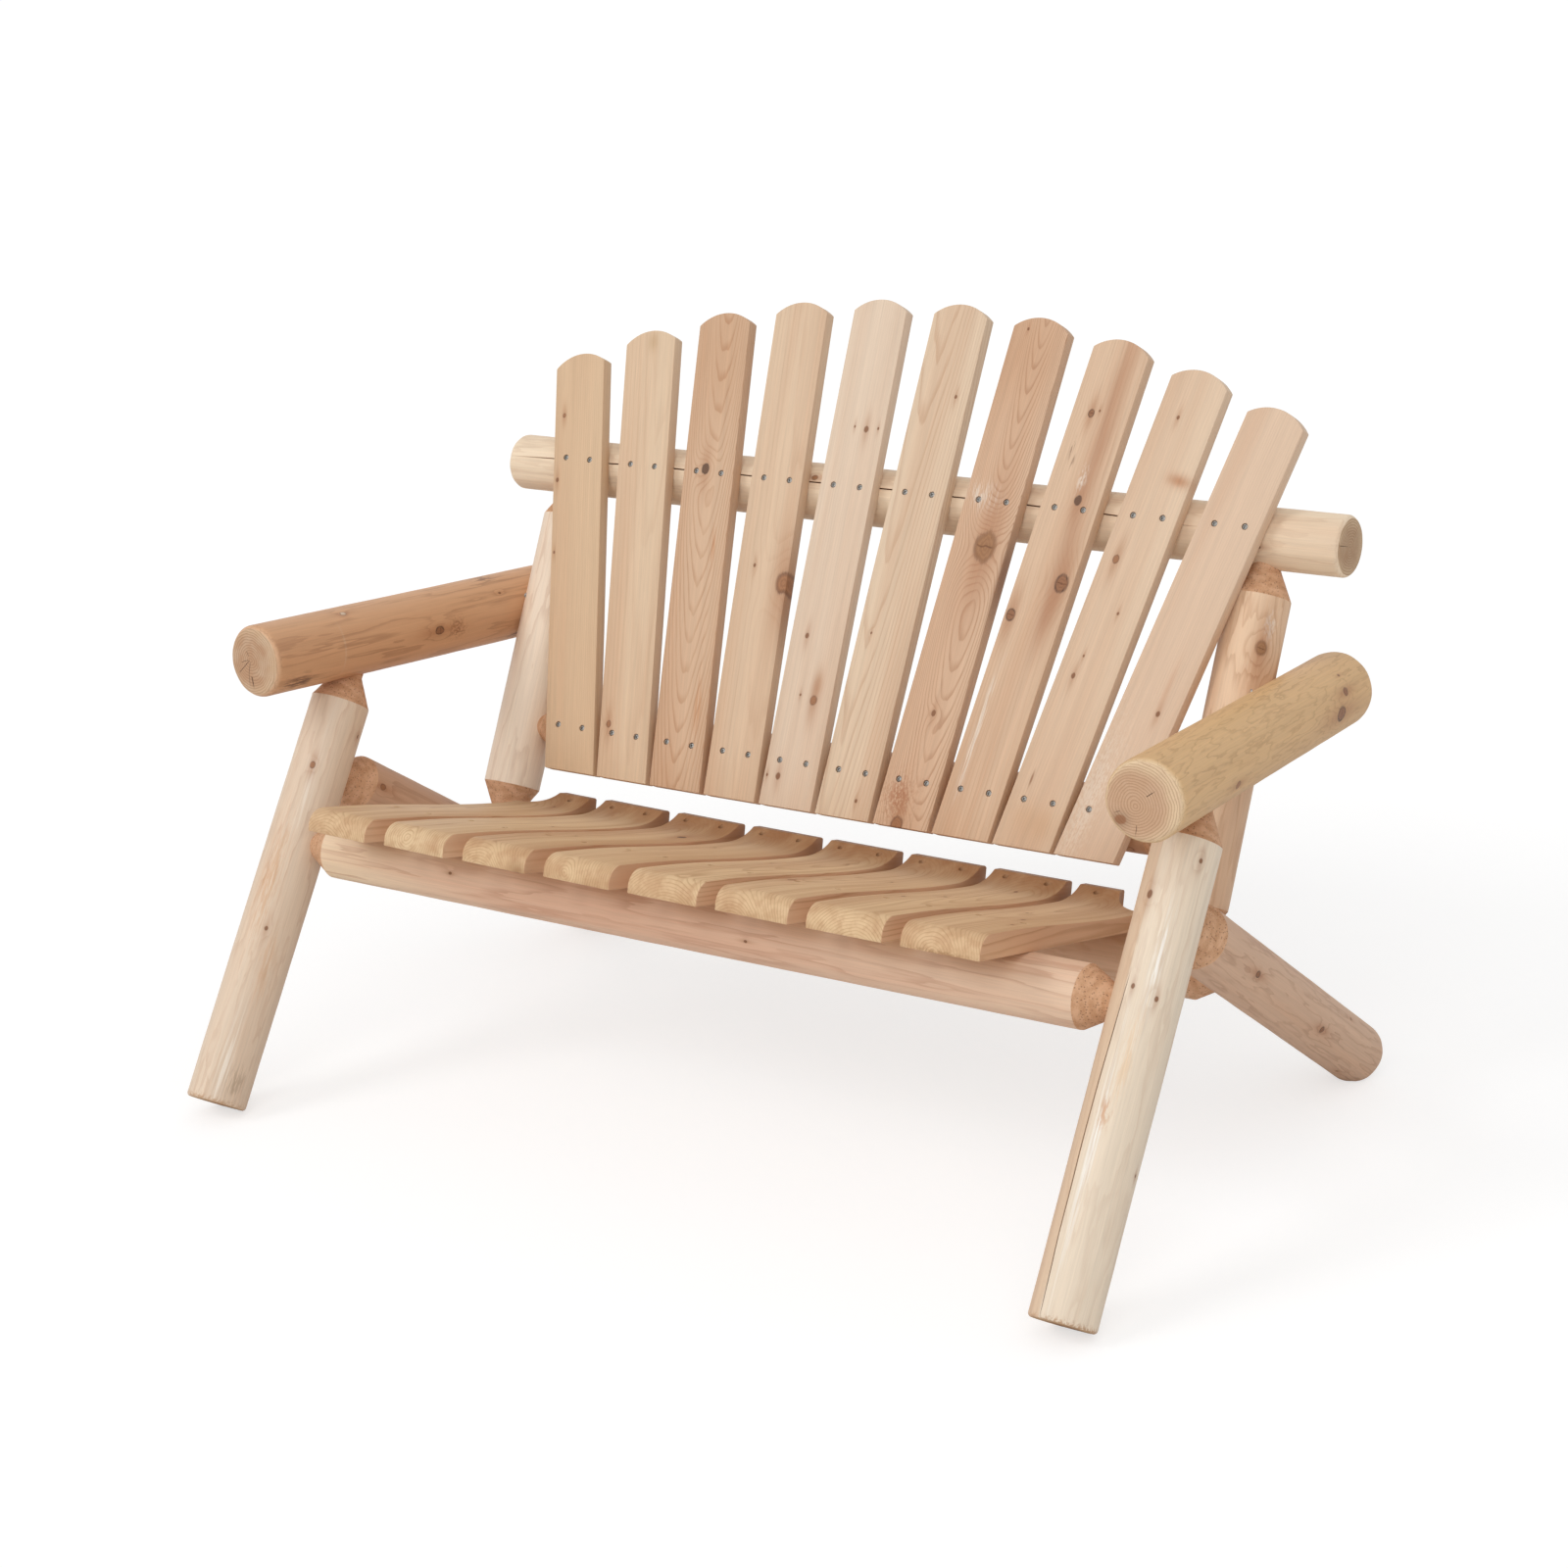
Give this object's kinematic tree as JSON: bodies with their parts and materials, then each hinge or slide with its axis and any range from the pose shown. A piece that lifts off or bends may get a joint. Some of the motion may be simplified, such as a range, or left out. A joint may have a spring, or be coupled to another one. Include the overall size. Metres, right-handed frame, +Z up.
{
  "type": "garden love seat",
  "caption": "Free-standing garden love seat of peeled logs with cone-and-tenon joints, a fan of round-topped back slats, scooped seat slats and log arms.",
  "frame": {"origin": "on the floor under the middle of the seat's bounding box", "axes": "+X across the seat, towards the right arm as the viewer in front sees it; -Y towards the front edge; +Z up"},
  "size_m": [1.5418, 0.939, 1.06],
  "materials": {
    "log_wood": "peeled and sanded, unfinished",
    "back_board": "planed, unfinished",
    "seat_board": "sanded, unfinished",
    "screw_zinc": "zinc plated"
  },
  "bodies": {
    "root": {"front_leg_left": "log_wood", "arm_left": "log_wood", "rear_leg_left": "log_wood", "back_post_left": "log_wood", "front_leg_right": "log_wood", "arm_right": "log_wood", "rear_leg_right": "log_wood", "back_post_right": "log_wood", "front_seat_rail": "log_wood", "rear_seat_rail": "log_wood", "lower_back_rail": "log_wood", "top_back_rail": "log_wood", "back_slat_01": "back_board", "back_slat_02": "back_board", "back_slat_03": "back_board", "back_slat_04": "back_board", "back_slat_05": "back_board", "back_slat_06": "back_board", "back_slat_07": "back_board", "back_slat_08": "back_board", "back_slat_09": "back_board", "back_slat_10": "back_board", "seat_slat_1": "seat_board", "seat_slat_2": "seat_board", "seat_slat_3": "seat_board", "seat_slat_4": "seat_board", "seat_slat_5": "seat_board", "seat_slat_6": "seat_board", "seat_slat_7": "seat_board", "seat_slat_8": "seat_board", "back_lower_screws": "screw_zinc", "back_upper_screws": "screw_zinc", "seat_front_screws": "screw_zinc", "seat_rear_screws": "screw_zinc", "arm_screws": "screw_zinc", "joint_pin_screws": "screw_zinc"}
  },
  "joints": []
}
